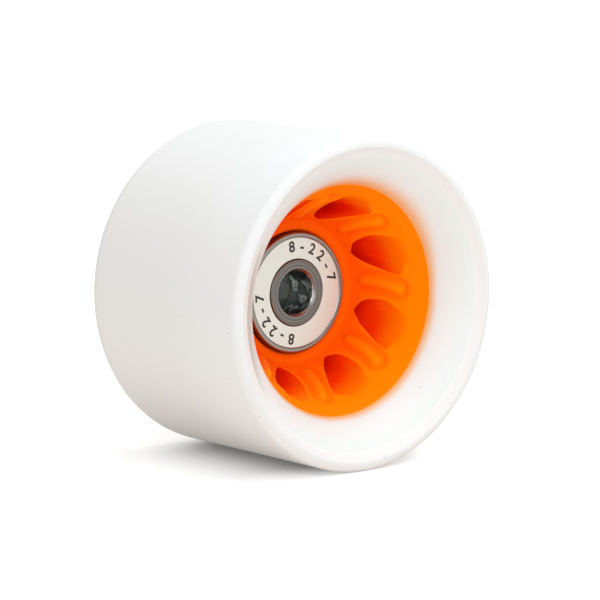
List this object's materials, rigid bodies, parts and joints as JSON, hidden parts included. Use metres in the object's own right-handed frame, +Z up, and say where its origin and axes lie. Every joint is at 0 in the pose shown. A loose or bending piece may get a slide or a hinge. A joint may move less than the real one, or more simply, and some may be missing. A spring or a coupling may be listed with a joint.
{
  "type": "roller skate wheel",
  "caption": "Roller skate wheel: white cast tyre with a deep dish on an orange spoked core, with two sealed ball bearings and a spacer that turn on an axle.",
  "frame": {"origin": "centre of the wheel's bounding box, on the axle's axis, halfway between the front and rear planes", "axes": "+Y along the axle towards the skate's truck, -Y out of the dished front, +Z up, +X to the right seen from the front"},
  "size_m": [0.06, 0.044, 0.06],
  "materials": {
    "urethane": "satin white cast urethane",
    "orange_nylon": "semi-gloss moulded nylon",
    "spacer_metal": "turned",
    "ring_steel": "ground bearing steel",
    "ball_steel": "polished",
    "nylon_black": "moulded nylon",
    "seal_metal": "pale satin",
    "seal_rubber": "moulded"
  },
  "bodies": {
    "axle_side": {"front_inner_ring": "ring_steel", "spacer": "spacer_metal", "rear_inner_ring": "ring_steel"},
    "wheel": {"tyre": "urethane", "core": "orange_nylon", "front_outer_ring": "ring_steel", "rear_outer_ring": "ring_steel", "front_outer_seal_plate": "seal_metal", "front_outer_seal_lip": "seal_rubber", "front_inner_seal_plate": "seal_metal", "front_inner_seal_lip": "seal_rubber", "rear_outer_seal_plate": "seal_metal", "rear_outer_seal_lip": "seal_rubber", "rear_inner_seal_plate": "seal_metal", "rear_inner_seal_lip": "seal_rubber"},
    "front_cage": {"front_cage": "nylon_black"},
    "front_ball_1": {"front_ball_1": "ball_steel"},
    "front_ball_2": {"front_ball_2": "ball_steel"},
    "front_ball_3": {"front_ball_3": "ball_steel"},
    "front_ball_4": {"front_ball_4": "ball_steel"},
    "front_ball_5": {"front_ball_5": "ball_steel"},
    "front_ball_6": {"front_ball_6": "ball_steel"},
    "front_ball_7": {"front_ball_7": "ball_steel"},
    "rear_cage": {"rear_cage": "nylon_black"},
    "rear_ball_1": {"rear_ball_1": "ball_steel"},
    "rear_ball_2": {"rear_ball_2": "ball_steel"},
    "rear_ball_3": {"rear_ball_3": "ball_steel"},
    "rear_ball_4": {"rear_ball_4": "ball_steel"},
    "rear_ball_5": {"rear_ball_5": "ball_steel"},
    "rear_ball_6": {"rear_ball_6": "ball_steel"},
    "rear_ball_7": {"rear_ball_7": "ball_steel"}
  },
  "joints": [
    {"name": "wheel_spin", "type": "hinge", "parent": "axle_side", "child": "wheel", "pos_m": [0, 0, 0], "axis": [0, 1, 0], "continuous": true},
    {"name": "front_cage_spin", "type": "hinge", "parent": "axle_side", "child": "front_cage", "pos_m": [0, 0.0013, 0], "axis": [0, 1, 0], "continuous": true},
    {"name": "front_ball_1_spin", "type": "hinge", "parent": "front_cage", "child": "front_ball_1", "pos_m": [0.0075, 0.0013, 0], "axis": [0, 1, 0], "continuous": true},
    {"name": "front_ball_2_spin", "type": "hinge", "parent": "front_cage", "child": "front_ball_2", "pos_m": [0.00468, 0.0013, 0.00586], "axis": [0, 1, 0], "continuous": true},
    {"name": "front_ball_3_spin", "type": "hinge", "parent": "front_cage", "child": "front_ball_3", "pos_m": [-0.00167, 0.0013, 0.00731], "axis": [0, 1, 0], "continuous": true},
    {"name": "front_ball_4_spin", "type": "hinge", "parent": "front_cage", "child": "front_ball_4", "pos_m": [-0.00676, 0.0013, 0.00325], "axis": [0, 1, 0], "continuous": true},
    {"name": "front_ball_5_spin", "type": "hinge", "parent": "front_cage", "child": "front_ball_5", "pos_m": [-0.00676, 0.0013, -0.00325], "axis": [0, 1, 0], "continuous": true},
    {"name": "front_ball_6_spin", "type": "hinge", "parent": "front_cage", "child": "front_ball_6", "pos_m": [-0.00167, 0.0013, -0.00731], "axis": [0, 1, 0], "continuous": true},
    {"name": "front_ball_7_spin", "type": "hinge", "parent": "front_cage", "child": "front_ball_7", "pos_m": [0.00468, 0.0013, -0.00586], "axis": [0, 1, 0], "continuous": true},
    {"name": "rear_cage_spin", "type": "hinge", "parent": "axle_side", "child": "rear_cage", "pos_m": [0, 0.0183, 0], "axis": [0, 1, 0], "continuous": true},
    {"name": "rear_ball_1_spin", "type": "hinge", "parent": "rear_cage", "child": "rear_ball_1", "pos_m": [-0.0075, 0.0183, 0], "axis": [0, 1, 0], "continuous": true},
    {"name": "rear_ball_2_spin", "type": "hinge", "parent": "rear_cage", "child": "rear_ball_2", "pos_m": [-0.00468, 0.0183, 0.00586], "axis": [0, 1, 0], "continuous": true},
    {"name": "rear_ball_3_spin", "type": "hinge", "parent": "rear_cage", "child": "rear_ball_3", "pos_m": [0.00167, 0.0183, 0.00731], "axis": [0, 1, 0], "continuous": true},
    {"name": "rear_ball_4_spin", "type": "hinge", "parent": "rear_cage", "child": "rear_ball_4", "pos_m": [0.00676, 0.0183, 0.00325], "axis": [0, 1, 0], "continuous": true},
    {"name": "rear_ball_5_spin", "type": "hinge", "parent": "rear_cage", "child": "rear_ball_5", "pos_m": [0.00676, 0.0183, -0.00325], "axis": [0, 1, 0], "continuous": true},
    {"name": "rear_ball_6_spin", "type": "hinge", "parent": "rear_cage", "child": "rear_ball_6", "pos_m": [0.00167, 0.0183, -0.00731], "axis": [0, 1, 0], "continuous": true},
    {"name": "rear_ball_7_spin", "type": "hinge", "parent": "rear_cage", "child": "rear_ball_7", "pos_m": [-0.00468, 0.0183, -0.00586], "axis": [0, 1, 0], "continuous": true}
  ],
  "couplings": [
    {"joint": "front_cage_spin", "follows": "wheel_spin", "ratio": 0.6323},
    {"joint": "front_ball_1_spin", "follows": "wheel_spin", "ratio": 1.7573},
    {"joint": "front_ball_2_spin", "follows": "wheel_spin", "ratio": 1.7573},
    {"joint": "front_ball_3_spin", "follows": "wheel_spin", "ratio": 1.7573},
    {"joint": "front_ball_4_spin", "follows": "wheel_spin", "ratio": 1.7573},
    {"joint": "front_ball_5_spin", "follows": "wheel_spin", "ratio": 1.7573},
    {"joint": "front_ball_6_spin", "follows": "wheel_spin", "ratio": 1.7573},
    {"joint": "front_ball_7_spin", "follows": "wheel_spin", "ratio": 1.7573},
    {"joint": "rear_cage_spin", "follows": "wheel_spin", "ratio": 0.6323},
    {"joint": "rear_ball_1_spin", "follows": "wheel_spin", "ratio": 1.7573},
    {"joint": "rear_ball_2_spin", "follows": "wheel_spin", "ratio": 1.7573},
    {"joint": "rear_ball_3_spin", "follows": "wheel_spin", "ratio": 1.7573},
    {"joint": "rear_ball_4_spin", "follows": "wheel_spin", "ratio": 1.7573},
    {"joint": "rear_ball_5_spin", "follows": "wheel_spin", "ratio": 1.7573},
    {"joint": "rear_ball_6_spin", "follows": "wheel_spin", "ratio": 1.7573},
    {"joint": "rear_ball_7_spin", "follows": "wheel_spin", "ratio": 1.7573}
  ]
}
